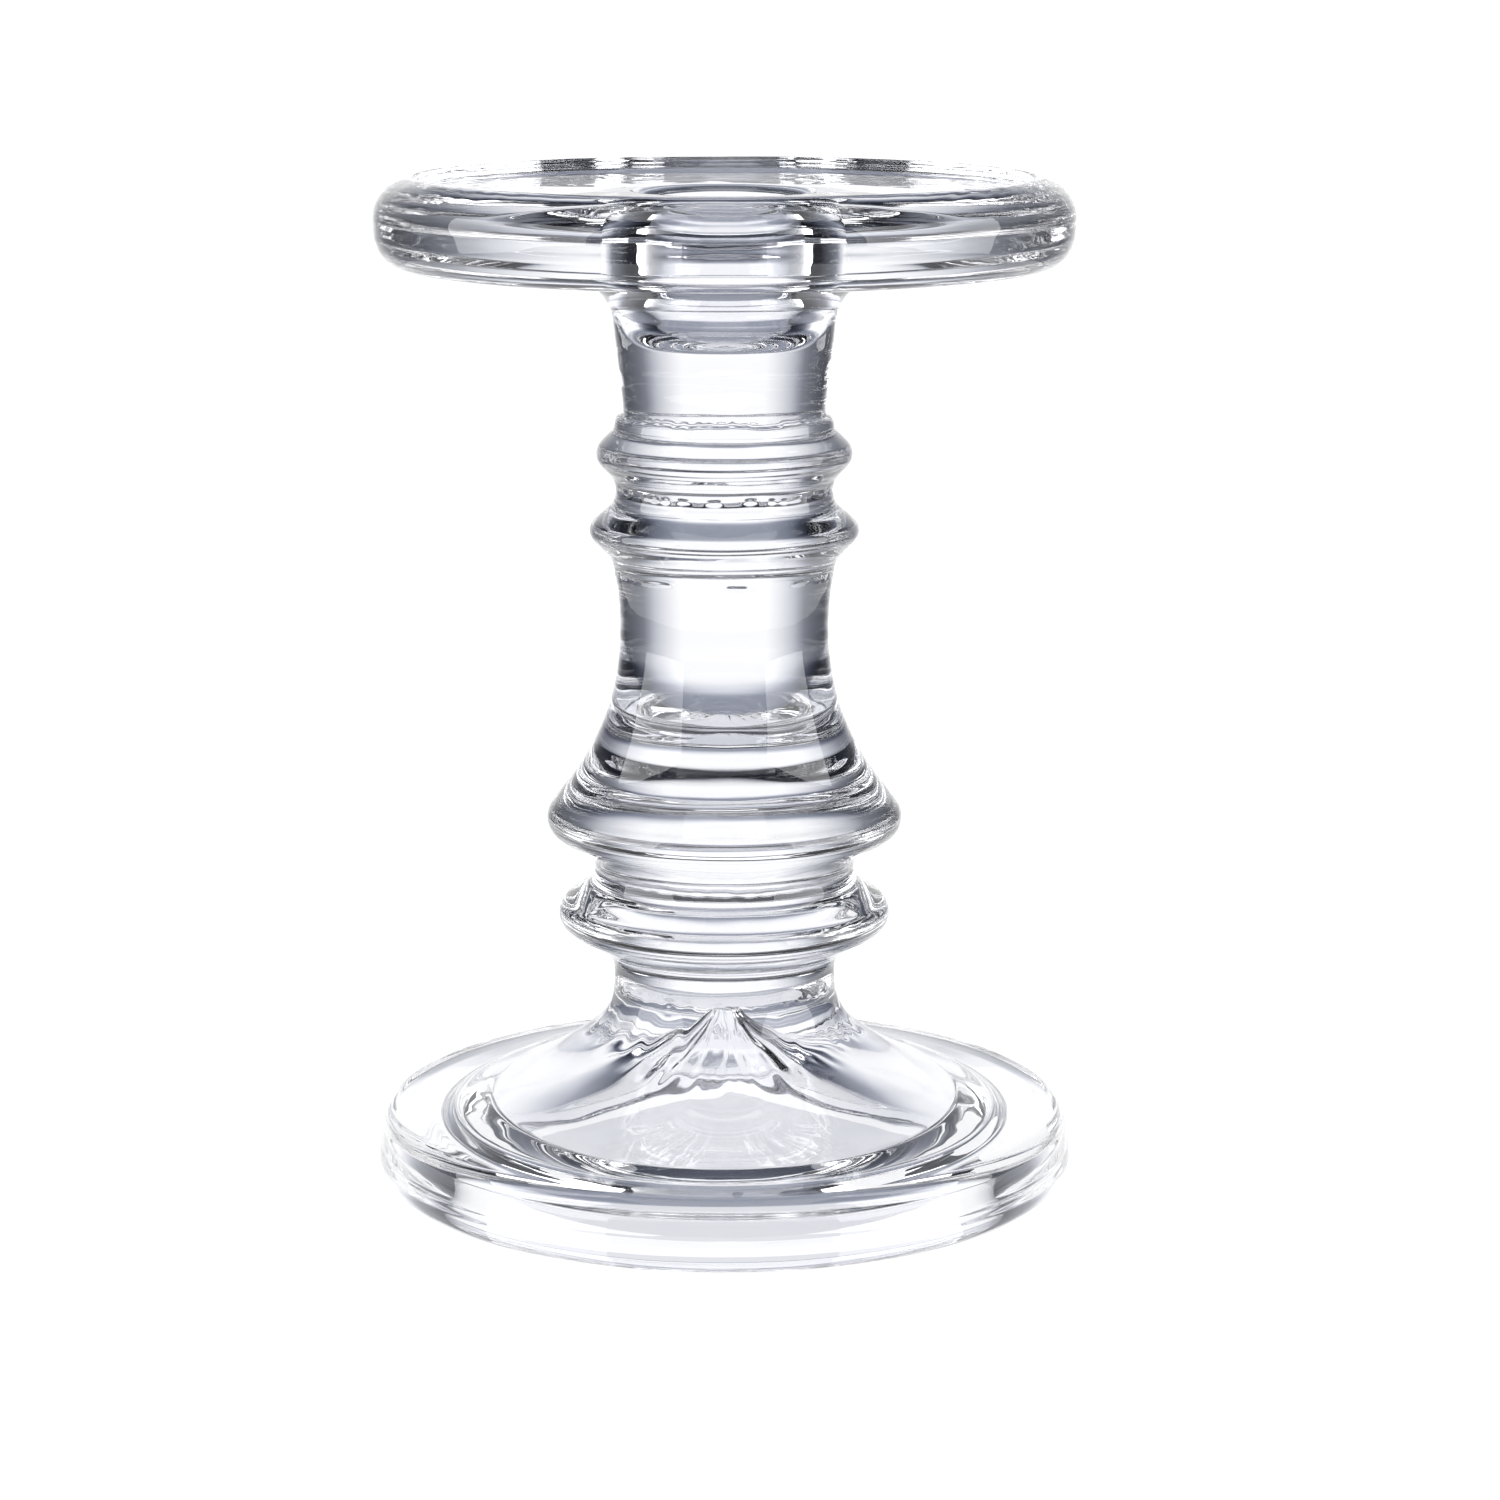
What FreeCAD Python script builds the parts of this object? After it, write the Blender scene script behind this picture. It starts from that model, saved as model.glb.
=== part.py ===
import FreeCAD, Part
import math
import os
import re
import Sketcher

# Glass candlestick in seven solid sections, stacked on one upright axis and fused hot at flat seams:
# a heavy domed foot, a lower collar, a bell-shaped baluster, two upper collars, the neck that holds
# the candle socket, and a thick round drip dish. Millimetres, +Z up, origin on the axis at the table.

doc = FreeCAD.newDocument("GlassCandlestick")

# ---- driving dimensions ------------------------------------------------------------------------
# Radii are measured from the axis and heights from the lower face of the section they belong to.
# A "round" is a bulging arc and a "cove" is a hollow one; both words name an arc's radius.
SIZES = {
    "foot": {
        "foot_tall": 29.0,
        "foot_edge_radius": 51.0,
        "foot_edge_height": 3.7,
        "foot_edge_round": 3.7,
        "foot_shoulder_radius": 50.25,
        "foot_shoulder_height": 8.2,
        "foot_shoulder_round": 2.6,
        "foot_top_radius": 47.9,
        "foot_top_height": 10.85,
        "foot_flare_cove": 48.7,
        "foot_root_radius": 19.36,
        "foot_root_height": 22.1,
        "foot_root_cove": 9.0,
        "hollow_radius": 39.6,
        "hollow_draft": 0.6,
        "hollow_ceiling": 5.4,
        "hollow_cove": 0.8,
        "hollow_lip_round": 1.0,
        "hollow_dome_radius": 32.1,
        "hollow_dome_round": 60.0,
        "punt_radius": 11.5,
        "punt_root_height": 14.5,
        "punt_round": 19.0,
        "punt_tip_radius": 1.5,
        "punt_tip_cove": 1.7,
        "punt_height": 26.3,
    },
    "seams": {
        "foot_seam_radius": 16.15,
        "waist_seam_radius": 18.9,
        "baluster_seam_radius": 15.8,
        "collar_seam_radius": 15.65,
        "neck_seam_radius": 14.5,
        "dish_seam_radius": 19.3,
    },
    "lower collar": {
        "lower_collar_tall": 17.3,
        "lower_neck_height": 1.95,
        "lower_neck_cove": 4.15,
        "lower_flank_radius": 18.35,
        "lower_flank_height": 5.6,
        "lower_belly_radius": 22.75,
        "lower_belly_height": 8.05,
        "lower_collar_round": 2.65,
        "lower_crown_radius": 23.0,
        "lower_crown_height": 12.56,
        "lower_throat_radius": 20.43,
        "lower_throat_height": 14.35,
        "lower_throat_cove": 3.6,
    },
    "baluster": {
        "baluster_tall": 43.3,
        "bell_cove": 2.5,
        "bell_flank_radius": 20.0,
        "bell_flank_height": 2.2,
        "bell_lip_radius": 24.48,
        "bell_lip_height": 4.94,
        "bell_lip_round": 2.9,
        "bell_brow_radius": 25.2,
        "bell_brow_height": 9.2,
        "bell_cheek_radius": 22.8,
        "bell_cheek_height": 12.3,
        "bell_sweep_cove": 36.5,
        "waist_radius": 15.06,
        "waist_low_height": 34.7,
        "waist_high_height": 35.7,
        "waist_flare_cove": 39.0,
    },
    "middle collar": {
        "middle_collar_tall": 12.2,
        "middle_foot_cove": 4.6,
        "middle_flank_radius": 17.1,
        "middle_flank_height": 3.05,
        "middle_belly_radius": 18.7,
        "middle_belly_height": 4.7,
        "middle_collar_round": 1.75,
        "middle_crown_radius": 18.75,
        "middle_crown_height": 7.5,
        "middle_throat_radius": 16.9,
        "middle_throat_height": 9.1,
        "middle_throat_cove": 3.3,
    },
    "upper collar": {
        "upper_collar_tall": 10.6,
        "upper_foot_cove": 3.0,
        "upper_flank_radius": 16.6,
        "upper_flank_height": 2.2,
        "upper_belly_radius": 17.6,
        "upper_belly_height": 3.15,
        "upper_collar_round": 2.4,
        "upper_crown_height": 6.75,
        "upper_throat_radius": 16.5,
        "upper_throat_height": 7.85,
        "upper_throat_cove": 1.8,
        "bead_radius": 15.7,
        "bead_height": 9.6,
        "bead_round": 1.1,
    },
    "candle socket": {
        "socket_piece_tall": 18.6,
        "neck_root_height": 1.0,
        "neck_top_radius": 15.9,
        "neck_top_height": 13.1,
        "neck_flare_cove": 6.6,
        "socket_radius": 11.5,
        "socket_straight_height": 17.0,
        "socket_low_radius": 10.1,
        "socket_low_height": 14.0,
        "socket_floor_cove": 4.6,
        "socket_floor_height": 9.8,
    },
    "drip dish": {
        "dish_tall": 15.3,
        "dish_root_cove": 6.5,
        "dish_root_radius": 23.6,
        "dish_root_height": 1.55,
        "dish_under_radius": 44.6,
        "dish_under_height": 2.75,
        "dish_under_round": 4.3,
        "dish_wall_radius": 49.4,
        "dish_step_height": 6.4,
        "dish_step_width": 0.2,
        "dish_brow_radius": 49.75,
        "dish_brow_height": 9.4,
        "dish_brow_round": 5.6,
        "dish_bevel_radius": 48.1,
        "dish_bevel_height": 13.3,
        "dish_crest_round": 7.5,
        "dish_crest_radius": 44.4,
        "dish_inner_round": 0.9,
        "dish_inner_radius": 43.5,
        "dish_inner_height": 14.4,
        "dish_inner_foot_radius": 43.3,
        "dish_inner_foot_height": 13.9,
        "dish_floor_radius": 42.6,
        "dish_floor_height": 13.2,
        "dish_floor_cove": 0.7,
        "socket_mouth_round": 2.0,
    },
}

sheet = doc.addObject("Spreadsheet::Sheet", "Sizes")
row = 1
for group, dimensions in SIZES.items():
    sheet.set(f"A{row}", group)
    row += 1
    for name, value in dimensions.items():
        sheet.set(f"A{row}", name)
        sheet.set(f"B{row}", str(value))
        sheet.setAlias(f"B{row}", name)
        row += 1
doc.recompute()


def bound(formula):
    """The formula with every name in it, apart from sqrt, read from the sheet."""
    return re.sub(r"\b(?!sqrt\b)([a-z]\w*)", r"Sizes.\1", formula)


# ---- drawing a section -------------------------------------------------------------------------
def arc_between(start, end, radius, kind):
    """The short arc from start to end. A round has its centre in the glass, on the left of the way
    round the outline, and a cove has its centre in the air, on the right."""
    chord = end.sub(start)
    reach = math.sqrt(radius ** 2 - (chord.Length / 2) ** 2)
    left = FreeCAD.Vector(-chord.y, chord.x, 0).normalize()
    side = 1 if kind == "round" else -1
    centre = start.add(end).multiply(0.5).add(left.multiply(side * reach))
    circle = Part.Circle(centre, FreeCAD.Vector(0, 0, 1), radius)
    first, last = (start, end) if kind == "round" else (end, start)
    angles = [math.atan2(point.y - centre.y, point.x - centre.x) for point in (first, last)]
    return Part.ArcOfCircle(circle, angles[0], angles[1])


def bind(sketch, constraint, name, formula):
    """Adds a constraint whose value follows the sheet."""
    index = sketch.addConstraint(constraint)
    sketch.renameConstraint(index, name)
    sketch.setExpression(f"Constraints.{name}", bound(formula))


def draw_outline(sketch, stations):
    """Draws a closed half-section, anticlockwise. A station is (radius, height), reached by a straight
    edge, or (radius, height, "round" or "cove", arc radius)."""
    values = [[float(sketch.evalExpression(bound(text))) for text in station[:2]] for station in stations]
    points = [FreeCAD.Vector(radius, height, 0) for radius, height in values]
    edge_ends = []
    for index, station in enumerate(stations):
        start = points[index - 1]
        end = points[index]
        if len(station) == 2:
            edge = sketch.addGeometry(Part.LineSegment(start, end))
            edge_ends.append((edge, 1, 2))
            continue
        kind, arc_radius = station[2:]
        size = float(sketch.evalExpression(bound(arc_radius)))
        edge = sketch.addGeometry(arc_between(start, end, size, kind))
        edge_ends.append((edge, 1, 2) if kind == "round" else (edge, 2, 1))
        bind(sketch, Sketcher.Constraint("Radius", edge, size), f"arc_{index}", arc_radius)
    for index, station in enumerate(stations):
        edge, _, tail = edge_ends[index]
        following, head, _ = edge_ends[(index + 1) % len(stations)]
        sketch.addConstraint(Sketcher.Constraint("Coincident", edge, tail, following, head))
        radius, height = values[index]
        if radius == 0:
            sketch.addConstraint(Sketcher.Constraint("PointOnObject", edge, tail, -2))
        else:
            across = Sketcher.Constraint("DistanceX", -1, 1, edge, tail, radius)
            bind(sketch, across, f"radius_{index}", station[0])
        if height == 0:
            sketch.addConstraint(Sketcher.Constraint("PointOnObject", edge, tail, -1))
        else:
            along = Sketcher.Constraint("DistanceY", -1, 1, edge, tail, height)
            bind(sketch, along, f"height_{index}", station[1])


def turned_section(label, seam_height, stations):
    """One glass section: a half-section turned about the axis and stood on the seam below it."""
    body = doc.addObject("PartDesign::Body", label)
    body.Label = label
    upright = next(plane for plane in body.Origin.OriginFeatures if plane.Role == "XZ_Plane")
    sketch = body.newObject("Sketcher::SketchObject", f"{label}_outline")
    sketch.AttachmentSupport = (upright, [""])
    sketch.MapMode = "FlatFace"
    draw_outline(sketch, stations)
    turning = body.newObject("PartDesign::Revolution", f"{label}_turned")
    turning.Profile = sketch
    turning.ReferenceAxis = (sketch, ["V_Axis"])
    turning.Angle = 360
    sketch.Visibility = False
    body.setExpression("Placement.Base.z", bound(seam_height))
    return body


# ---- foot: a thick round base, domed and hollow beneath, with a pointed punt rising into the stem ----
def domed_foot():
    tip_end = "punt_height - punt_tip_cove + sqrt(punt_tip_cove ^ 2 - punt_tip_radius ^ 2)"
    return turned_section("domed_foot", "0 * foot_tall", [
        ("0", "punt_height"),
        ("punt_tip_radius", tip_end, "cove", "punt_tip_cove"),
        ("punt_radius", "punt_root_height", "round", "punt_round"),
        ("hollow_dome_radius", "hollow_ceiling", "round", "hollow_dome_round"),
        ("hollow_radius - hollow_draft - hollow_cove", "hollow_ceiling"),
        ("hollow_radius - hollow_draft", "hollow_ceiling - hollow_cove", "cove", "hollow_cove"),
        ("hollow_radius", "hollow_lip_round"),
        ("hollow_radius + hollow_lip_round", "0", "round", "hollow_lip_round"),
        ("foot_edge_radius - foot_edge_round", "0"),
        ("foot_edge_radius", "foot_edge_height", "round", "foot_edge_round"),
        ("foot_shoulder_radius", "foot_shoulder_height"),
        ("foot_top_radius", "foot_top_height", "round", "foot_shoulder_round"),
        ("foot_root_radius", "foot_root_height", "cove", "foot_flare_cove"),
        ("foot_seam_radius", "foot_tall", "cove", "foot_root_cove"),
        ("0", "foot_tall"),
    ])


# ---- lower collar: a wide rounded ring with a short neck below and a waist above --------------------
def lower_collar():
    return turned_section("lower_collar", "foot_tall", [
        ("0", "0"),
        ("foot_seam_radius", "0"),
        ("foot_seam_radius", "lower_neck_height"),
        ("lower_flank_radius", "lower_flank_height", "cove", "lower_neck_cove"),
        ("lower_belly_radius", "lower_belly_height"),
        ("lower_crown_radius", "lower_crown_height", "round", "lower_collar_round"),
        ("lower_throat_radius", "lower_throat_height"),
        ("waist_seam_radius", "lower_collar_tall", "cove", "lower_throat_cove"),
        ("0", "lower_collar_tall"),
    ])


# ---- baluster: a bell-shaped knop that sweeps up into the long waist of the stem ---------------------
def bell_baluster():
    return turned_section("bell_baluster", "foot_tall + lower_collar_tall", [
        ("0", "0"),
        ("waist_seam_radius", "0"),
        ("bell_flank_radius", "bell_flank_height", "cove", "bell_cove"),
        ("bell_lip_radius", "bell_lip_height"),
        ("bell_brow_radius", "bell_brow_height", "round", "bell_lip_round"),
        ("bell_cheek_radius", "bell_cheek_height"),
        ("waist_radius", "waist_low_height", "cove", "bell_sweep_cove"),
        ("waist_radius", "waist_high_height"),
        ("baluster_seam_radius", "baluster_tall", "cove", "waist_flare_cove"),
        ("0", "baluster_tall"),
    ])


# ---- middle collar: the larger of the two rings under the neck --------------------------------------
def middle_collar():
    return turned_section("middle_collar", "foot_tall + lower_collar_tall + baluster_tall", [
        ("0", "0"),
        ("baluster_seam_radius", "0"),
        ("middle_flank_radius", "middle_flank_height", "cove", "middle_foot_cove"),
        ("middle_belly_radius", "middle_belly_height"),
        ("middle_crown_radius", "middle_crown_height", "round", "middle_collar_round"),
        ("middle_throat_radius", "middle_throat_height"),
        ("collar_seam_radius", "middle_collar_tall", "cove", "middle_throat_cove"),
        ("0", "middle_collar_tall"),
    ])


# ---- upper collar: the smaller ring, with a fine bead at its top where the neck stands on it ----------
def upper_collar():
    below = "foot_tall + lower_collar_tall + baluster_tall + middle_collar_tall"
    return turned_section("upper_collar", below, [
        ("0", "0"),
        ("collar_seam_radius", "0"),
        ("upper_flank_radius", "upper_flank_height", "cove", "upper_foot_cove"),
        ("upper_belly_radius", "upper_belly_height"),
        ("upper_belly_radius", "upper_crown_height", "round", "upper_collar_round"),
        ("upper_throat_radius", "upper_throat_height"),
        ("bead_radius", "bead_height", "cove", "upper_throat_cove"),
        ("neck_seam_radius", "upper_collar_tall", "round", "bead_round"),
        ("0", "upper_collar_tall"),
    ])


# ---- neck: flares towards the dish and holds the lower, tapered half of the candle socket ------------
def candle_socket():
    below = "foot_tall + lower_collar_tall + baluster_tall + middle_collar_tall + upper_collar_tall"
    return turned_section("candle_socket", below, [
        ("0", "0"),
        ("neck_seam_radius", "0"),
        ("neck_seam_radius", "neck_root_height"),
        ("neck_top_radius", "neck_top_height"),
        ("dish_seam_radius", "socket_piece_tall", "cove", "neck_flare_cove"),
        ("socket_radius", "socket_piece_tall"),
        ("socket_radius", "socket_straight_height"),
        ("socket_low_radius", "socket_low_height"),
        ("socket_low_radius - socket_floor_cove", "socket_floor_height", "cove", "socket_floor_cove"),
        ("0", "socket_floor_height"),
    ])


# ---- drip dish: a thick saucer with a heavy rounded rim; the socket's straight bore runs through it ----
def drip_dish():
    below = ("foot_tall + lower_collar_tall + baluster_tall + middle_collar_tall + upper_collar_tall"
             " + socket_piece_tall")
    return turned_section("drip_dish", below, [
        ("socket_radius", "0"),
        ("dish_seam_radius", "0"),
        ("dish_root_radius", "dish_root_height", "cove", "dish_root_cove"),
        ("dish_under_radius", "dish_under_height"),
        ("dish_wall_radius", "dish_step_height", "round", "dish_under_round"),
        ("dish_wall_radius + dish_step_width", "dish_step_height + dish_step_width"),
        ("dish_brow_radius", "dish_brow_height"),
        ("dish_bevel_radius", "dish_bevel_height", "round", "dish_brow_round"),
        ("dish_crest_radius", "dish_tall", "round", "dish_crest_round"),
        ("dish_inner_radius", "dish_inner_height", "round", "dish_inner_round"),
        ("dish_inner_foot_radius", "dish_inner_foot_height"),
        ("dish_floor_radius", "dish_floor_height", "cove", "dish_floor_cove"),
        ("socket_radius + socket_mouth_round", "dish_floor_height"),
        ("socket_radius", "dish_floor_height - socket_mouth_round", "round", "socket_mouth_round"),
    ])


sections = [
    domed_foot(),
    lower_collar(),
    bell_baluster(),
    middle_collar(),
    upper_collar(),
    candle_socket(),
    drip_dish(),
]
doc.recompute()

# ---- checks and STEP files -----------------------------------------------------------------------
for item in doc.Objects:
    failed = [state for state in item.State if state in ("Invalid", "Error")]
    if failed:
        raise RuntimeError(f"{item.Name} did not build: {failed}")
for section in sections:
    if section.Shape.isNull() or not section.Shape.isValid() or len(section.Shape.Solids) != 1:
        raise RuntimeError(f"{section.Label} is not one valid solid")

GLASS_DENSITY = 2.5e-6  # kg per cubic millimetre
os.makedirs("parts", exist_ok=True)
for section in sections:
    section.Shape.exportStep(f"parts/{section.Label}.step")
    box = section.Shape.optimalBoundingBox()
    mass = section.Shape.Volume * GLASS_DENSITY
    print(f"{section.Label:14s} z {box.ZMin:7.2f} to {box.ZMax:7.2f}  across {box.XLength:6.2f}"
          f"  mass {mass:.3f} kg")
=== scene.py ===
# %% [markdown]
# # A clear glass candlestick
# The real object is solid, colourless glass: a thick drip dish, a ringed stem with a bell-shaped knop
# and a heavy foot that is hollow underneath. Each section is shaped on its own and the sections are
# fused hot, so from outside the joints nearly vanish. Glass has no colour of its own to paint. What the
# eye reads is bent light, so the lesson is about exact curves, small faults and a good studio.

# %% Load the frame that the CAD model gives
import math

import bmesh
import bpy
import numpy as np
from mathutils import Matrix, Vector, noise


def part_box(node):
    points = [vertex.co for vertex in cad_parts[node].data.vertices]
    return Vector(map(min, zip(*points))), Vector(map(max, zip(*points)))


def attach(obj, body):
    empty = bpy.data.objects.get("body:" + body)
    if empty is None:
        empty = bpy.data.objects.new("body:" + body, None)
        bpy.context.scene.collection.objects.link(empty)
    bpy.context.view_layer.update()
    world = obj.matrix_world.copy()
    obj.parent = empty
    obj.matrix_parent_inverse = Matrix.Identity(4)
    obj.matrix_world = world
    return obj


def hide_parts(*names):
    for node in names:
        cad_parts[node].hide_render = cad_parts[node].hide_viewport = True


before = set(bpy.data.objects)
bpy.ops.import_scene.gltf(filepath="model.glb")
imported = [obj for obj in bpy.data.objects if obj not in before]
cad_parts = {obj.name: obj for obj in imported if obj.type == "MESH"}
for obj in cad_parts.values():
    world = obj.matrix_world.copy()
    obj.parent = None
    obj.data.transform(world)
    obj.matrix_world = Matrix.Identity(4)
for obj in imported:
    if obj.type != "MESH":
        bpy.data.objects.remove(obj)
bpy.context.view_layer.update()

MM = 0.001
SECTIONS = ["domed_foot", "lower_collar", "bell_baluster", "middle_collar", "upper_collar",
            "candle_socket", "drip_dish"]
seam_height = {name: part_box(name)[0][2] / MM for name in SECTIONS}
print("lower seams, mm:", {name: round(height, 2) for name, height in seam_height.items()})

# %% [markdown]
# ## Outlines
# A turned section is fully described by half of its outline. Each outline is a list of stations in
# millimetres: radius from the axis, height above the section's own lower seam, and for a curved stretch
# the word round (bulging glass) or cove (hollow glass) with the arc's radius. One smooth curve through
# many points could do the same, but arcs keep the crisp rings crisp and need only a few numbers.

# %% Stations of the outer outlines, bottom to top
OUTER = {
    "domed_foot": [
        (40.6, 0.0), (47.3, 0.0), (51.0, 3.7, "round", 3.7), (50.25, 8.2), (47.9, 10.85, "round", 2.6),
        (19.36, 22.1, "cove", 48.7), (16.15, 29.0, "cove", 9.0)],
    "lower_collar": [
        (16.15, 0.0), (16.15, 1.95), (18.35, 5.6, "cove", 4.15), (22.75, 8.05), (23.0, 12.56, "round", 2.65),
        (20.43, 14.35), (18.9, 17.3, "cove", 3.6)],
    "bell_baluster": [
        (18.9, 0.0), (20.0, 2.2, "cove", 2.5), (24.48, 4.94), (25.2, 9.2, "round", 2.9), (22.8, 12.3),
        (15.06, 34.7, "cove", 36.5), (15.06, 35.7), (15.8, 43.3, "cove", 39.0)],
    "middle_collar": [
        (15.8, 0.0), (17.1, 3.05, "cove", 4.6), (18.7, 4.7), (18.75, 7.5, "round", 1.75), (16.9, 9.1),
        (15.65, 12.2, "cove", 3.3)],
    "upper_collar": [
        (15.65, 0.0), (16.6, 2.2, "cove", 3.0), (17.6, 3.15), (17.6, 6.75, "round", 2.4), (16.5, 7.85),
        (15.7, 9.6, "cove", 1.8), (14.5, 10.6, "round", 1.1)],
    "candle_socket": [
        (14.5, 0.0), (14.5, 1.0), (15.9, 13.1), (19.3, 18.6, "cove", 6.6)],
    "drip_dish": [
        (19.3, 0.0), (23.6, 1.55, "cove", 6.5), (44.6, 2.75), (49.4, 6.4, "round", 4.3), (49.6, 6.6),
        (49.75, 9.4), (48.1, 13.3, "round", 5.6), (44.4, 15.3, "round", 7.5), (43.5, 14.4, "round", 0.9),
        (43.3, 13.9), (42.6, 13.2, "cove", 0.7), (13.5, 13.2), (11.5, 11.2, "round", 2.0), (11.5, 0.0)],
}
print("outer stations:", {name: len(stations) for name, stations in OUTER.items()})

# %% Stations of the two inner outlines: the foot's hollow with its punt, and the candle socket
HOLLOW = [
    (0.0, 26.3), (1.5, 25.4, "cove", 1.7), (11.5, 14.5, "round", 19.0), (32.1, 5.4, "round", 60.0),
    (38.2, 5.4), (39.0, 4.6, "cove", 0.8), (39.6, 1.0), (40.6, 0.0, "round", 1.0)]
SOCKET = [
    (11.5, 18.6), (11.5, 17.0), (10.1, 14.0), (5.5, 9.8, "cove", 4.6), (0.0, 9.8)]
print("punt", HOLLOW[0][1], "mm tall, socket floor", SOCKET[-1][1], "mm above the socket's seam")

# %% Turn stations into closely spaced points
FINE = 0.1  # mm between points


def arc_points(start, end, kind, radius):
    """Points along the short arc from start to end, the start itself left out."""
    (x1, y1), (x2, y2) = start, end
    chord = math.hypot(x2 - x1, y2 - y1)
    way = 1 if kind == "round" else -1
    reach = math.sqrt(radius ** 2 - (chord / 2) ** 2) * way
    centre_x = (x1 + x2) / 2 - (y2 - y1) / chord * reach
    centre_y = (y1 + y2) / 2 + (x2 - x1) / chord * reach
    first = math.atan2(y1 - centre_y, x1 - centre_x)
    turn = 2 * math.asin(chord / 2 / radius) * way
    count = max(2, math.ceil(abs(turn) * radius / FINE))
    angles = [first + turn * i / count for i in range(1, count + 1)]
    return [(centre_x + radius * math.cos(angle), centre_y + radius * math.sin(angle)) for angle in angles]


def fine_line(stations, lift):
    """Stations as closely spaced points, raised by lift."""
    points = [stations[0][:2]]
    for station in stations[1:]:
        start, end = points[-1], station[:2]
        if len(station) == 4:
            points += arc_points(start, end, station[2], station[3])
        else:
            count = max(1, math.ceil(math.dist(start, end) / FINE))
            points += [(start[0] + (end[0] - start[0]) * i / count,
                        start[1] + (end[1] - start[1]) * i / count) for i in range(1, count + 1)]
    return [(radius, height + lift) for radius, height in points]


half_outline = fine_line(HOLLOW, 0.0)
for name in SECTIONS:
    half_outline += fine_line(OUTER[name], seam_height[name])[1:]
half_outline += fine_line(SOCKET, seam_height["candle_socket"])[1:]
print("half outline, punt tip to socket floor:", len(half_outline), "points")

# %% [markdown]
# ## Fire polish
# After forming, the glass goes back to the flame until its skin melts, and surface tension rounds every
# corner by a few tenths of a millimetre. A bevel modifier could round the edges of the finished mesh,
# but blurring the outline itself is closer to what the flame does, and it treats sharp and blunt corners
# alike. The line is mirrored across the axis first, so that the punt's tip stays round.

# %% Soften the outline
POLISH = 0.32  # mm, how far the flame softens a corner


def melted(points):
    """The line evenly spaced and blurred. Both its ends lie on the axis and stay there."""
    line = np.array(points)
    length = np.concatenate([[0], np.cumsum(np.hypot(*np.diff(line, axis=0).T))])
    even = np.linspace(0, length[-1], int(length[-1] / FINE) + 1)
    line = np.column_stack([np.interp(even, length, line[:, axis]) for axis in (0, 1)])
    reach = int(3 * POLISH / FINE)
    weights = np.exp(-0.5 * (np.arange(-reach, reach + 1) * FINE / POLISH) ** 2)
    weights /= weights.sum()
    mirror = np.array([-1, 1])
    padded = np.vstack([line[reach:0:-1] * mirror, line, line[-2:-reach - 2:-1] * mirror])
    return np.column_stack([np.convolve(padded[:, axis], weights, "valid") for axis in (0, 1)])


def outward(line):
    """The direction out of the glass at each point of a line, in the plane of the outline."""
    along = np.gradient(line, axis=0)
    along /= np.maximum(np.hypot(*along.T), 1e-9)[:, None]
    return np.column_stack([along[:, 1], -along[:, 0]])


soft_line = melted(half_outline)
soft_line[[0, -1], 0] = 0.0
soft_out = outward(soft_line)
print("softened outline is", round(len(soft_line) * FINE), "mm long")

# %% [markdown]
# ## From a line to rings
# Every kept point of the line becomes one ring of the mesh. Rings stand close where the outline bends,
# because glass shows each facet as a broken reflection, and close to the seams, which carry fine marks.
# They stand further apart on long easy curves. Blender could do this with an adaptive subdivision, but
# choosing the rings by hand keeps each piece under its 200,000 triangles.

# %% Choose the rings, then cut the line at the seams
MAX_TURN = math.radians(3.5)
LONG_STEP, STEM_STEP, SEAM_STEP = 0.7, 0.45, 0.14  # mm between rings
SEAM_REACH = 0.9                                   # mm on each side of a seam
MOULD_LINE = 5.3                                   # mm above the table, where the foot's mould closed
STEM_LOW, STEM_HIGH = 30.0, 128.0                  # mm, the heights that carry tool lines


def near_seam(point):
    lines = [MOULD_LINE] + [height for height in seam_height.values() if height > 1]
    return any(abs(point[1] - height) < SEAM_REACH for height in lines)


def chosen(line):
    """Numbers of the points to keep: the ends, and points that the bend or the distance asks for."""
    kept = [0]
    steps = np.diff(line, axis=0)
    headings = np.arctan2(steps[:, 1], steps[:, 0])
    heading = headings[0]
    for index in range(1, len(line) - 1):
        turn = abs((headings[index] - heading + math.pi) % (2 * math.pi) - math.pi)
        stem = STEM_LOW < line[index][1] < STEM_HIGH
        limit = SEAM_STEP if near_seam(line[index]) else STEM_STEP if stem else LONG_STEP
        if turn > MAX_TURN or math.dist(line[kept[-1]], line[index]) > limit:
            kept.append(index)
            heading = headings[index]
    if kept[-1] == len(line) - 2:
        kept.pop()
    return kept + [len(line) - 1]


def crossing(start, height):
    """The first pair of neighbouring points from start on that lie on both sides of a height."""
    index = start
    while (soft_line[index][1] - height) * (soft_line[index + 1][1] - height) > 0:
        index += 1
    return index


def between(index, height):
    """The line's point and outward direction at exactly this height, just after index."""
    low, high = soft_line[index], soft_line[index + 1]
    share = (height - low[1]) / (high[1] - low[1])
    direction = soft_out[index] * (1 - share) + soft_out[index + 1] * share
    return low + (high - low) * share, direction / np.hypot(*direction)


cuts = []
place = 0
for height in [seam_height[name] for name in SECTIONS[1:]] + [seam_height["drip_dish"]]:
    place = crossing(place + 1, height)
    cuts.append((place, *between(place, height)))
print("seams meet the outline at radii", [round(float(cut[1][0]), 2) for cut in cuts])


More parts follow.
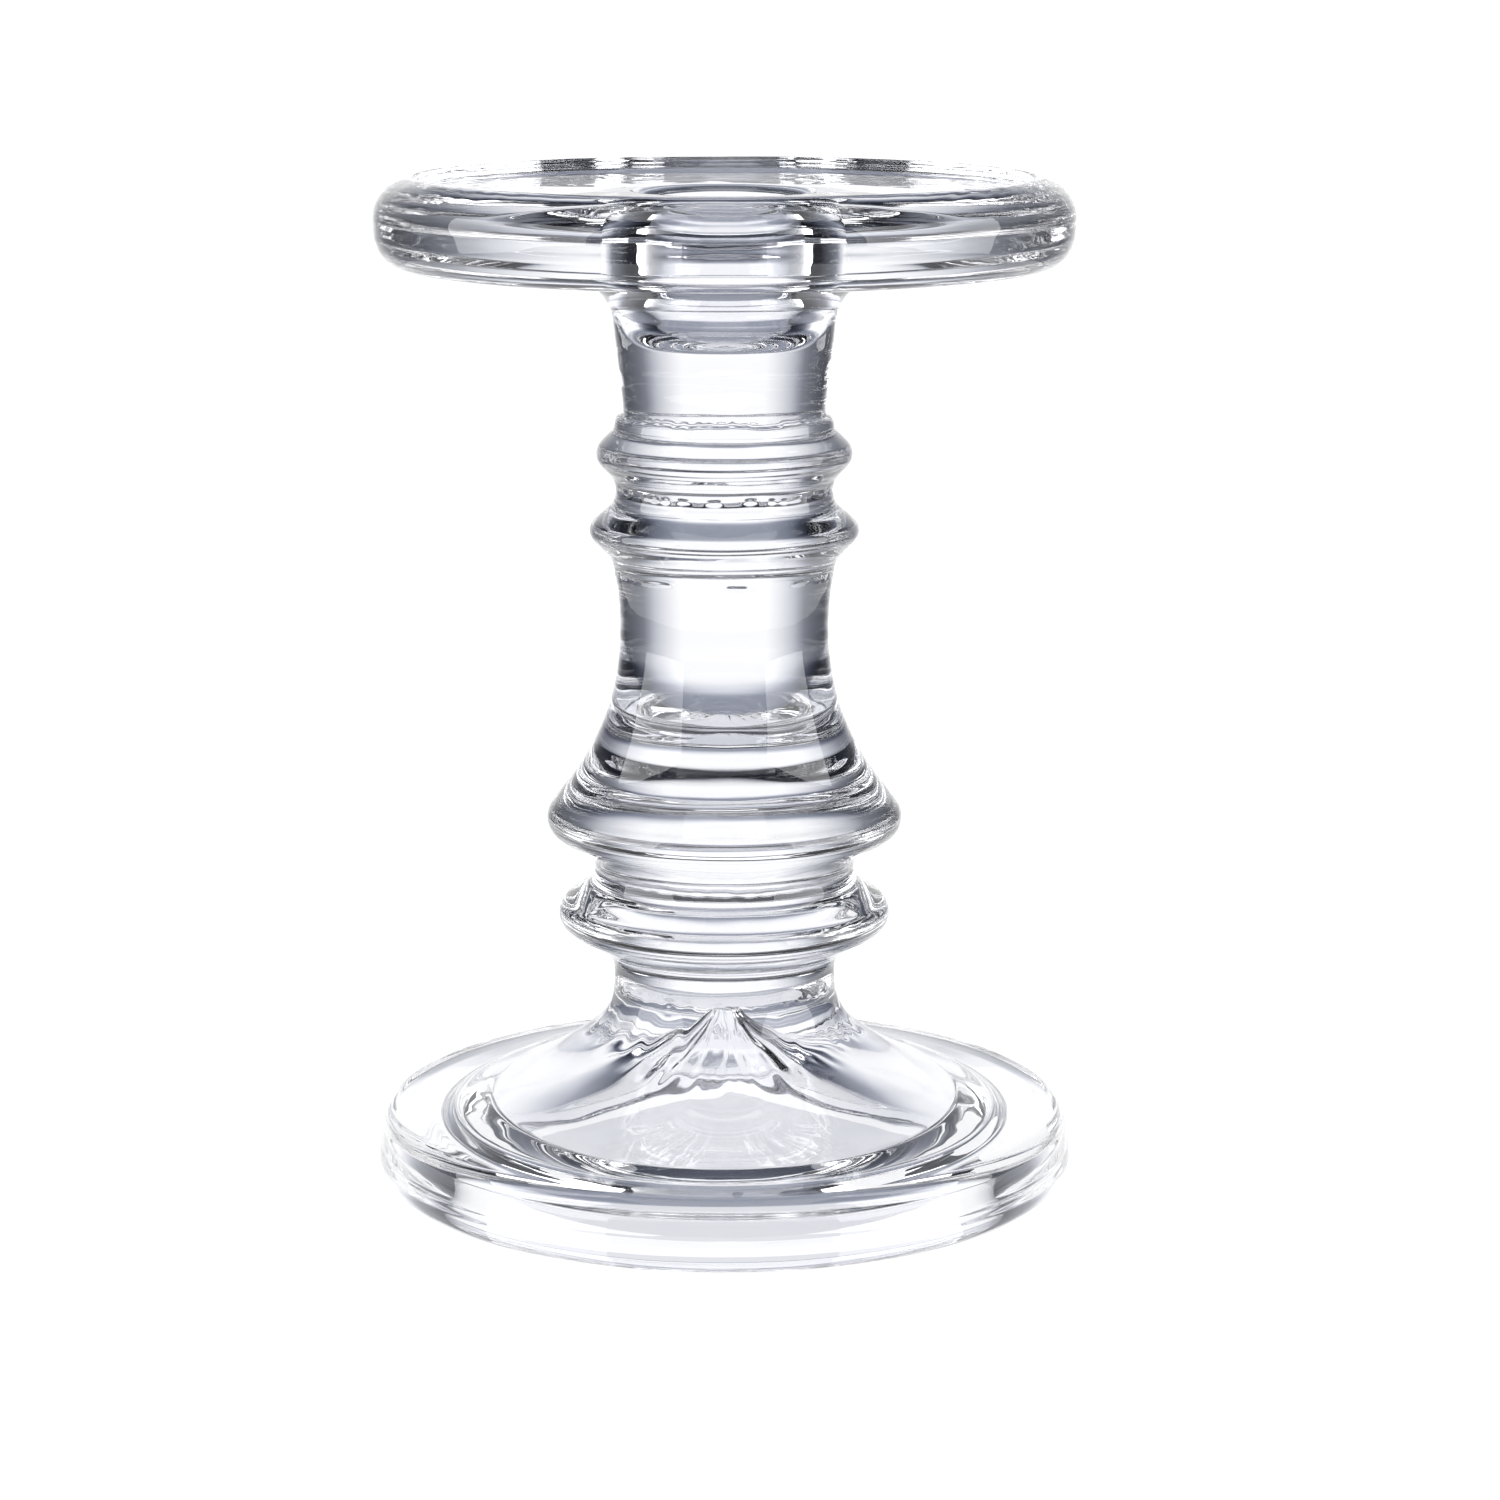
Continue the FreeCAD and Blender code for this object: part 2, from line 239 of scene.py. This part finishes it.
def stretch(first, last):
    """Rings of one stretch of the line, from cut to cut, as (radius, height, outward r, outward z)."""
    begin = first[0] + 1 if first else 0
    end = last[0] + 1 if last else len(soft_line)
    points, directions = soft_line[begin:end], soft_out[begin:end]
    if first:
        points, directions = np.vstack([first[1], points]), np.vstack([first[2], directions])
    if last:
        points, directions = np.vstack([points, last[1]]), np.vstack([directions, last[2]])
    kept = chosen(points)
    return np.hstack([points[kept], directions[kept]])


ends = [None] + cuts + [None]
stretches = [stretch(first, last) for first, last in zip(ends[:-1], ends[1:])]
print("rings per stretch:", [len(rows) for rows in stretches])

# %% [markdown]
# ## What hands and tools leave behind
# No hot-worked glass is a perfect turned shape. The tool leaves waves a few hundredths of a millimetre
# high, the punt is pushed in and folds like cloth, the dish is spun and gets fine radial cords, and each
# seam keeps a broken line where the two skins met. A bump map would only tilt reflections. Moving the
# vertices also bends what is seen through the glass.

# %% Two kinds of soft pattern
def around_noise(angle, per_turn, along, seed):
    """Soft noise that closes on itself round the axis: per_turn crests, stretched along the outline."""
    reach = per_turn / math.pi
    return noise.noise(Vector((reach * math.cos(angle) + seed, reach * math.sin(angle) - seed, along)))


def window(value, low, high, edge):
    """1 between low and high, falling softly to 0 over edge on both sides."""
    rise = min(max((value - low) / edge + 1, 0), 1)
    fall = min(max((high - value) / edge + 1, 0), 1)
    share = min(rise, fall)
    return share * share * (3 - 2 * share)


print("window at its edge:", window(9.0, 10.0, 20.0, 2.0))

# %% [markdown]
# The gatherer turns the glass by hand, so its skin is never quite level: long soft waves everywhere, and on
# the stem fine level lines from the shaping tool. Both are noise in millimetres, so their size is real.

# %% Waves and tool lines
WAVE_LONG, WAVE_SHORT = 16.0, 5.0      # mm from crest to crest, about
WAVE_LONG_HIGH, WAVE_SHORT_HIGH = 0.055, 0.012  # mm
LINE_SPACING, LINE_DEPTH = 1.6, 0.028  # mm


def waves(radius, height, angle):
    """Soft waves over the whole skin."""
    spot = Vector((radius * math.cos(angle), radius * math.sin(angle), height))
    long_wave = noise.noise(spot / WAVE_LONG)
    short_wave = noise.noise(spot / WAVE_SHORT + Vector((31, 7, 11)))
    return WAVE_LONG_HIGH * long_wave + WAVE_SHORT_HIGH * short_wave


def tool_lines(radius, height, angle):
    """Fine level lines that the shaping tool leaves round the stem. They wander a little."""
    if radius < 13 or not STEM_LOW < height < STEM_HIGH:
        return 0.0
    wander = height + 0.5 * around_noise(angle, 7, height / 20, 41.0)
    spot = Vector((wander / LINE_SPACING, 0.4 * math.cos(angle), 0.4 * math.sin(angle)))
    return LINE_DEPTH * noise.noise(spot)


print("skin of the waist moves by, mm:",
      [round(waves(15, 85, math.radians(a)) + tool_lines(15, 85, math.radians(a)), 4) for a in (0, 90, 180)])

# %% [markdown]
# A pointed tool pushes the punt up into soft glass, which gathers round it like cloth. The dish is spun
# open, which draws its cords out from the middle. Noise that runs round the axis gives both a direction.

# %% Folds of the punt and cords of the dish
PUNT_FOLDS, PUNT_FOLD_DEPTH = 22, 0.24   # crests round the axis, mm
DISH_CORDS, DISH_CORD_DEPTH = 56, 0.035  # crests round the axis, mm


def folds(radius, height, angle):
    """Radial folds of the punt and fine cords in the spun dish."""
    total = 0.0
    if height < 27 and radius < 20:
        share = window(height, 14.5, 25.0, 3.0) * min(radius / 3, 1)
        total += PUNT_FOLD_DEPTH * share * around_noise(angle, PUNT_FOLDS, height / 18, 3.0)
    if height > 132 and radius > 14:
        share = window(radius, 33, 46, 6) * (1.0 if height > 142 else 0.6)
        total += DISH_CORD_DEPTH * share * around_noise(angle, DISH_CORDS, radius / 30 + height / 30, 9.0)
    return total


print("punt at half height moves by, mm:",
      [round(folds(8, 18, math.radians(a)), 3) for a in range(0, 90, 15)])

# %% [markdown]
# A seam closed by hand keeps a fine broken groove, a seam closed very hot only a shallow dip, and the foot
# keeps the line of its mould. The grooves are cut into the skin, because a painted line wouldn't bend light.

# %% Seam grooves and the foot's mould line
HAND_SEAMS = [seam_height[name] for name in ("middle_collar", "upper_collar", "candle_socket")]
HOT_SEAMS = [seam_height[name] for name in ("lower_collar", "bell_baluster")]
HAND_DEPTH, HAND_WIDTH = 0.22, 0.28    # mm
HOT_DEPTH, HOT_WIDTH = 0.05, 0.5       # mm
MOULD_DEPTH, MOULD_WIDTH = 0.12, 0.25  # mm
DRIFT = 0.32                           # mm that a seam wanders up or down


def groove(radius, height, angle):
    """The line round the foot's mould, and the broken line that a seam leaves in the skin."""
    if radius < 13:
        return 0.0
    depth = 0.0
    if radius > 50 and height < 8:
        uneven = 0.7 + around_noise(angle, 20, 0.0, 23.0)
        depth -= MOULD_DEPTH * uneven * math.exp(-((height - MOULD_LINE) / MOULD_WIDTH) ** 2)
    for seams, deep, wide in ((HAND_SEAMS, HAND_DEPTH, HAND_WIDTH), (HOT_SEAMS, HOT_DEPTH, HOT_WIDTH)):
        for seam in seams:
            if abs(height - seam) < 4 * wide:
                broken = max(0.0, 0.45 + 1.3 * around_noise(angle, 34, seam, 17.0))
                depth -= deep * broken * math.exp(-((height - seam) / wide) ** 2)
    return depth


def drift(height, angle):
    """How far a seam wanders up or down from level."""
    total = 0.0
    for seam in HAND_SEAMS + HOT_SEAMS:
        if abs(height - seam) < 5:
            total += DRIFT * around_noise(angle, 9, seam, 5.0) * math.exp(-((height - seam) / 2.0) ** 2)
    return total


print("groove depths at the neck seam, mm:",
      [round(groove(15, HAND_SEAMS[2], math.radians(a)), 3) for a in range(0, 360, 60)])


# %% Put a point of the outline into space
def placed(row, angle):
    """Where a point of the outline lands in space, in metres, faults included."""
    radius, height, out_r, out_z = row
    push = sum(fault(radius, height, angle) for fault in (waves, tool_lines, folds, groove))
    radius, height = radius + push * out_r, height + push * out_z
    if radius > 13:
        height += drift(height, angle)
    return Vector((radius * math.cos(angle), radius * math.sin(angle), height)) * MM


print("a point of the foot's rim, m:", [round(c, 5) for c in placed((51.0, 5.0, 1.0, 0.0), 0.0)])

# %% [markdown]
# ## Mesh work
# A piece is a stack of rings joined by quads, closed by a fan on the axis or by a flat seam face. The
# spin operator would do the turning, but it can't carry the small faults, so the rings are placed one by
# one. The rim of a seam face is marked sharp: its flat face must not tilt the shading of the skin.

# %% Rings, skins, caps and seam faces
AROUND = 360
ANGLES = [2 * math.pi * step / AROUND for step in range(AROUND)]
SKIN, SEAM = 0, 1  # material slots of a piece


def ring(bm, row):
    return [bm.verts.new(placed(row, angle)) for angle in ANGLES]


def skin(bm, lower, upper, slot=SKIN):
    for step in range(AROUND):
        following = (step + 1) % AROUND
        face = bm.faces.new((lower[step], lower[following], upper[following], upper[step]))
        face.material_index = slot
        face.smooth = True


def fan(bm, rim, height, upward, slot=SKIN):
    """Closes a ring on the axis."""
    centre = bm.verts.new((0, 0, height * MM))
    for step in range(AROUND):
        corner, following = rim[step], rim[(step + 1) % AROUND]
        face = bm.faces.new((corner, following, centre) if upward else (following, corner, centre))
        face.material_index = slot
        face.smooth = True


def seam_face(bm, rim, height, upward):
    """A seam face in a few rings, so that its slight wave fades towards the axis."""
    outer = rim
    for share in (0.8, 0.6, 0.4, 0.2):
        inner = [bm.verts.new((vertex.co.x * share, vertex.co.y * share,
                               height * MM + (vertex.co.z - height * MM) * share)) for vertex in rim]
        skin(bm, *((outer, inner) if upward else (inner, outer)), SEAM)
        outer = inner
    fan(bm, outer, height, upward, SEAM)


def sharpen_seams(bm):
    """Marks every edge between the skin and a seam face as sharp."""
    for edge in bm.edges:
        slots = {face.material_index for face in edge.link_faces}
        if len(slots) == 2:
            edge.smooth = False


def stack(bm, rows):
    """Rings for all rows, joined by quads. A row on the axis gets no ring."""
    rings = [ring(bm, row) for row in rows if row[0] > 1e-6]
    for lower, upper in zip(rings[:-1], rings[1:]):
        skin(bm, lower, upper)
    return rings


def new_object(bm, name, materials):
    mesh = bpy.data.meshes.new(name)
    bm.normal_update()
    bm.to_mesh(mesh)
    bm.free()
    for material in materials:
        mesh.materials.append(material)
    piece = bpy.data.objects.new(name, mesh)
    bpy.context.scene.collection.objects.link(piece)
    return piece


print(AROUND, "points in a ring, one every", 360 / AROUND, "degrees")

# %% [markdown]
# ## The glass
# Candlestick glass of this kind is soda-lime glass, pressed or worked hot and then fire-polished. Its
# index of refraction is 1.52, it is colourless to the eye apart from a trace of cool grey in thick parts,
# and a fire-polished skin has no roughness at all. One shader does all of it: full transmission, and a
# bump of very low, long waves that stands for cords, the streaks left where the melt was not quite mixed.
# Volume absorption could give the cool tint, but here it would be too faint to see and slow to render.

# %% Helpers for colours and nodes
def linear(hex_colour):
    """An sRGB hex colour as the linear numbers that shaders use."""
    channels = [int(hex_colour[i:i + 2], 16) / 255 for i in (1, 3, 5)]
    return tuple(c / 12.92 if c <= 0.04045 else ((c + 0.055) / 1.055) ** 2.4 for c in channels) + (1.0,)


def add_node(tree, kind, inputs=None, links=None, **settings):
    """Adds a node, sets its properties and sockets, and links other nodes' outputs to its inputs."""
    node = tree.nodes.new(kind)
    for key, value in settings.items():
        setattr(node, key, value)
    for key, value in (inputs or {}).items():
        node.inputs[key].default_value = value
    for key, source in (links or {}).items():
        tree.links.new(source, node.inputs[key])
    return node


def new_material(name):
    material = bpy.data.materials.new(name)
    material.use_nodes = True
    material.node_tree.nodes.clear()
    return material, material.node_tree


print("mid grey in linear numbers:", round(linear("#808080")[0], 3))

# %% Fire-polished soda-lime glass
CORD_SPACING = 9.0   # mm between cords in the melt
CORD_DEPTH = 0.006   # mm

glass, tree = new_material("fire_polished_soda_lime_glass")
spot = add_node(tree, "ShaderNodeTexCoord").outputs["Object"]
squashed = add_node(tree, "ShaderNodeMapping", {"Scale": (1.0, 1.0, 2.6)}, {"Vector": spot})
cords = add_node(tree, "ShaderNodeTexNoise",
                 {"Scale": 1 / (CORD_SPACING * MM), "Detail": 2.0, "Distortion": 0.6},
                 {"Vector": squashed.outputs["Vector"]})
bump = add_node(tree, "ShaderNodeBump", {"Strength": 1.0, "Distance": CORD_DEPTH * MM},
                {"Height": cords.outputs["Fac"]})
tint = add_node(tree, "ShaderNodeMix", {"A": linear("#FDFDFF"), "B": linear("#F6F7FB")},
                {"Factor": cords.outputs["Fac"]}, data_type="RGBA")
surface = add_node(tree, "ShaderNodeBsdfPrincipled",
                   {"Roughness": 0.0, "IOR": 1.52, "Transmission Weight": 1.0},
                   {"Base Color": tint.outputs["Result"], "Normal": bump.outputs["Normal"]})
add_node(tree, "ShaderNodeOutputMaterial", links={"Surface": surface.outputs["BSDF"]})
print("glass: index", surface.inputs["IOR"].default_value)

# %% [markdown]
# ## The seams
# Where two hot sections fuse, the glass runs through without a gap, so light must pass as if nothing
# were there. The pieces stay separate meshes, and their seam faces get a clear surface that neither bends
# nor reflects. Only the broken groove in the skin shows where the sections meet.

# %% Clear seam face
seam, tree = new_material("fused_glass_seam")
clear = add_node(tree, "ShaderNodeBsdfTransparent", {"Color": (1, 1, 1, 1)})
add_node(tree, "ShaderNodeOutputMaterial", links={"Surface": clear.outputs["BSDF"]})
print("seam faces use", seam.name)

# %% Finish a section of glass
def glass_piece(bm, name):
    """Finishes one section: sharp seam rims, both materials, and its place in the frame."""
    sharpen_seams(bm)
    piece = new_object(bm, f"glass_{name}", [glass, seam])
    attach(piece, "root")
    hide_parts(name)
    print(f"{piece.name}: {len(piece.data.polygons)} faces")
    return piece


# %% [markdown]
# ## Foot
# The heavy foot is pressed: its domed top flares into the stem, and a plunger leaves the hollow
# underneath with a pointed punt in its middle. The mesh runs from the punt's tip outwards over the
# hollow, round the ring that the foot stands on, and up to the first seam.

# %% Foot
bm = bmesh.new()
rows = stretches[0]
rings = stack(bm, rows)
fan(bm, rings[0], rows[0][1], False)
seam_face(bm, rings[-1], seam_height["lower_collar"], True)
glass_piece(bm, "domed_foot")

# %% [markdown]
# ## Stem
# The two lower rings, the bell-shaped baluster and the two upper rings are solid glass, and each one is
# the same job: a stack of rings between two seam faces, so a loop makes them all.

# %% Stem sections
for index, name in enumerate(SECTIONS[1:5], start=1):
    bm = bmesh.new()
    rings = stack(bm, stretches[index])
    seam_face(bm, rings[0], seam_height[name], False)
    seam_face(bm, rings[-1], seam_height[SECTIONS[index + 1]], True)
    glass_piece(bm, name)

# %% [markdown]
# ## Socket and dish
# The neck holds the lower half of the candle socket, and the dish carries the bore on through to its
# mouth. Their seam is a flat washer between the outer skin and the bore.

# %% Candle socket
bm = bmesh.new()
outer_rings = stack(bm, stretches[5])
inner_rings = stack(bm, stretches[7])
seam_face(bm, outer_rings[0], seam_height["candle_socket"], False)
skin(bm, outer_rings[-1], inner_rings[0], SEAM)
fan(bm, inner_rings[-1], stretches[7][-1][1], True)
glass_piece(bm, "candle_socket")

# %% Drip dish
bm = bmesh.new()
rings = stack(bm, stretches[6])
skin(bm, rings[-1], rings[0], SEAM)
glass_piece(bm, "drip_dish")

# %% [markdown]
# ## Camera
# A long lens from a little above the dish, as for a shop catalogue: the rim of the dish is seen
# almost edge on and the foot from above. A long lens also keeps the upright sides of the stem parallel.

# %% Camera
DISTANCE, EYE_HEIGHT, TILT = 0.584, 0.1837, 11.65  # metres, metres, degrees down
LENS, SENSOR_WIDTH, SIDE_SHIFT = 98.4, 36.0, 0.0171  # mm, mm, share of the width

view = bpy.data.objects.new("camera", bpy.data.cameras.new("camera"))
bpy.context.scene.collection.objects.link(view)
view.location = (0, -DISTANCE, EYE_HEIGHT)
view.rotation_euler = (math.radians(90 - TILT), 0, 0)
view.data.lens = LENS
view.data.sensor_width = SENSOR_WIDTH
view.data.shift_x = SIDE_SHIFT
bpy.context.scene.camera = view
print("camera looks down", TILT, "degrees")

# %% [markdown]
# ## Studio
# Clear glass is lit from behind. A bright paper stands behind the whole piece and the studio beside it is
# dark, so every edge that bends light far enough turns grey or black and draws the outline. The paper is
# part of a large dome round the object, carried with the camera like a turntable set: bright straight
# behind the glass, fading to cool grey at the sides and below, dark overhead and behind the camera. An
# area light could do for the paper, but a ramp over angle gives its soft edges exactly.

# %% Backdrop dome
DOME_RADIUS, PAPER_GLOW = 4.0, 1.12  # metres, strength
# Each stop is an angle in degrees and a brightness.
FALLOFF = [(0, 1.0), (16, 1.0), (20, 0.9), (25, 0.75), (30, 0.58), (34, 0.4), (38, 0.26), (43, 0.2),
           (50, 0.15), (60, 0.09), (70, 0.03), (110, 0.02), (180, 0.05)]  # from straight behind, sideways
RISE = [(-90, 0.36), (-24, 0.36), (-21, 0.42), (-18.5, 0.58), (-16, 0.8), (-13, 0.97), (-10, 1.0),
        (28, 1.0), (33, 0.8), (40, 0.4), (52, 0.12), (90, 0.06)]          # up from the view axis
UNDERGLOW = [(-90, 0.38), (-70, 0.3), (-55, 0.14), (-38, 0.0), (90, 0.0)]  # light from the table itself


def brightness_ramp(tree, source, stops, start, end, cool=0.0):
    """A ramp of brightness over angles from start to end. Darker stops get cooler by the share cool."""
    node = add_node(tree, "ShaderNodeValToRGB", links={"Fac": source})
    elements = node.color_ramp.elements
    elements.remove(elements[-1])
    for number, (degrees, brightness) in enumerate(stops):
        position = (degrees - start) / (end - start)
        stop = elements[0] if number == 0 else elements.new(position)
        stop.position = position
        shade = cool * (1 - brightness)
        stop.color = (brightness * (1 - shade), brightness * (1 - shade * 0.75), brightness, 1)
    return node.outputs["Color"]


paper, tree = new_material("white_paper_backdrop")
spot = add_node(tree, "ShaderNodeTexCoord").outputs["Object"]
split = add_node(tree, "ShaderNodeSeparateXYZ", links={"Vector": spot})
side = add_node(tree, "ShaderNodeMath", operation="ABSOLUTE", links={0: split.outputs["X"]})
depth = add_node(tree, "ShaderNodeMath", {1: -1.0}, {0: split.outputs["Z"]}, operation="MULTIPLY")
turn = add_node(tree, "ShaderNodeMath", links={0: side.outputs[0], 1: depth.outputs[0]}, operation="ARCTAN2")
turn_share = add_node(tree, "ShaderNodeMath", {1: math.pi}, {0: turn.outputs[0]}, operation="DIVIDE")
level = add_node(tree, "ShaderNodeMath", {1: DOME_RADIUS}, {0: split.outputs["Y"]}, operation="DIVIDE")
lift = add_node(tree, "ShaderNodeMath", links={0: level.outputs[0]}, operation="ARCSINE")
lift_share = add_node(tree, "ShaderNodeMapRange", {"From Min": -math.pi / 2, "From Max": math.pi / 2},
                      {"Value": lift.outputs[0]})
across = brightness_ramp(tree, turn_share.outputs[0], FALLOFF, 0, 180, cool=0.22)
upward = brightness_ramp(tree, lift_share.outputs["Result"], RISE, -90, 90, cool=0.34)
under = brightness_ramp(tree, lift_share.outputs["Result"], UNDERGLOW, -90, 90, cool=0.28)
shaped = add_node(tree, "ShaderNodeMix", {"Factor": 1.0}, {"A": across, "B": upward},
                  data_type="RGBA", blend_type="MULTIPLY")
summed = add_node(tree, "ShaderNodeMix", {"Factor": 1.0}, {"A": shaped.outputs["Result"], "B": under},
                  data_type="RGBA", blend_type="LIGHTEN")
glow = add_node(tree, "ShaderNodeEmission", {"Strength": PAPER_GLOW}, {"Color": summed.outputs["Result"]})
add_node(tree, "ShaderNodeOutputMaterial", links={"Surface": glow.outputs["Emission"]})

bm = bmesh.new()
bmesh.ops.create_uvsphere(bm, u_segments=96, v_segments=48, radius=DOME_RADIUS)
dome = new_object(bm, "backdrop_dome", [paper])
dome.parent = view
dome.location = (0, 0, -DISTANCE)
print("dome radius", DOME_RADIUS, "m, stops in its ramps:", len(FALLOFF), len(RISE), len(UNDERGLOW))

# %% [markdown]
# Two tall softboxes stand in front at the sides, and a square one hangs above. They light nothing in clear
# glass, but their soft-edged reflections run down the stem and across the foot, and they tell the eye that
# the surface is polished.

# %% Softboxes
def softbox(name, wide, tall, brightness, turned, lifted, away):
    """A soft light carried with the camera: turned from the lens, lifted above the view axis, in degrees."""
    lamp = bpy.data.lights.new(name, "AREA")
    lamp.shape = "RECTANGLE"
    lamp.size, lamp.size_y = wide, tall
    lamp.energy = brightness * math.pi * wide * tall
    holder = bpy.data.objects.new(name, lamp)
    bpy.context.scene.collection.objects.link(holder)
    turned, lifted = math.radians(turned), math.radians(lifted)
    level_share = math.cos(lifted)
    direction = Vector((math.sin(turned) * level_share, math.sin(lifted), math.cos(turned) * level_share))
    holder.parent = view
    holder.location = Vector((0, 0, -DISTANCE)) + direction * away
    holder.rotation_euler = direction.to_track_quat("Z", "Y").to_euler()
    print(name, "holds", round(lamp.energy, 2), "W")


SIDE_BOX = {"wide": 0.62, "tall": 0.8, "brightness": 3.3, "lifted": 12, "away": 0.8}
TOP_BOX = {"wide": 0.7, "tall": 0.7, "brightness": 1.6, "lifted": 72, "away": 0.9}
softbox("softbox_left", turned=-69, **SIDE_BOX)
softbox("softbox_right", turned=69, **SIDE_BOX)
softbox("softbox_top", turned=0, **TOP_BOX)

# %% [markdown]
# The table is matt white board that melts into the paper behind it. Its own glow keeps it even, and it is
# hidden from rays that have passed through glass, which see the smoother dome in its place.

# %% Floor
FLOOR_RADIUS = 0.34  # metres
FLOOR_GLOW = 0.93
GRAIN_PER_METRE, GRAIN_DEPTH = 900.0, 0.1 * MM
floor_white, tree = new_material("matt_white_table")
spot = add_node(tree, "ShaderNodeTexCoord").outputs["Object"]
grain = add_node(tree, "ShaderNodeTexNoise", {"Scale": GRAIN_PER_METRE, "Detail": 3.0}, {"Vector": spot})
grain_bump = add_node(tree, "ShaderNodeBump", {"Strength": 0.1, "Distance": GRAIN_DEPTH},
                      {"Height": grain.outputs["Fac"]})
surface = add_node(tree, "ShaderNodeBsdfPrincipled",
                   {"Base Color": linear("#8C8C8C"), "Roughness": 0.9, "Specular IOR Level": 0.0,
                    "Emission Color": (1, 1, 1, 1), "Emission Strength": FLOOR_GLOW},
                   {"Normal": grain_bump.outputs["Normal"]})
add_node(tree, "ShaderNodeOutputMaterial", links={"Surface": surface.outputs["BSDF"]})
bm = bmesh.new()
bmesh.ops.create_circle(bm, cap_ends=True, segments=128, radius=FLOOR_RADIUS)
floor = new_object(bm, "floor", [floor_white])
floor.visible_transmission = False
print("floor is", 2 * FLOOR_RADIUS, "m across")

# %% [markdown]
# The hollow keeps most light off the table beneath it. The glowing light grey disc inside the foot is
# painted shade:
# it stands in for that shaded table, and the wide flat part of the foot shows it. One even floor would leave
# the foot without a body.

# %% Painted shade: a glowing grey disc for the shaded table inside the foot
SHADE_RADIUS, SHADE_LIFT = 31.0, 0.02  # mm, inside the hollow and a hair above the floor

painted_shade_grey, tree = new_material("painted_shade_under_foot")
# The grey emission is painted shade, a fixed glow in place of the table's real shadow under the hollow.
surface = add_node(tree, "ShaderNodeEmission", {"Color": linear("#EBECF0"), "Strength": 1.0})
add_node(tree, "ShaderNodeOutputMaterial", links={"Surface": surface.outputs["Emission"]})
bm = bmesh.new()
bmesh.ops.create_circle(bm, cap_ends=True, segments=96, radius=SHADE_RADIUS * MM)
painted_shade_disc = new_object(bm, "painted_shade_disc_inside_foot", [painted_shade_grey])
painted_shade_disc.location.z = SHADE_LIFT * MM
print("shaded disc is", 2 * SHADE_RADIUS, "mm across")

# %% [markdown]
# ## Render settings
# A ray may cross the skin of a thick, hollow glass piece a dozen times before it leaves, so the bounce
# limits are high, and the Standard view keeps white paper white. The world beyond the dome is nearly dark.

# %% Bounces, view and world
STUDIO_DARK = (0.05, 0.05, 0.055, 1)
scene = bpy.context.scene
scene.view_settings.view_transform = "Standard"
scene.cycles.max_bounces = 32
scene.cycles.transmission_bounces = 32
scene.cycles.glossy_bounces = 16
scene.cycles.transparent_max_bounces = 64
print("light may bounce", scene.cycles.max_bounces, "times")
world = bpy.data.worlds.new("studio")
scene.world = world
world.use_nodes = True
world.node_tree.nodes["Background"].inputs["Color"].default_value = STUDIO_DARK
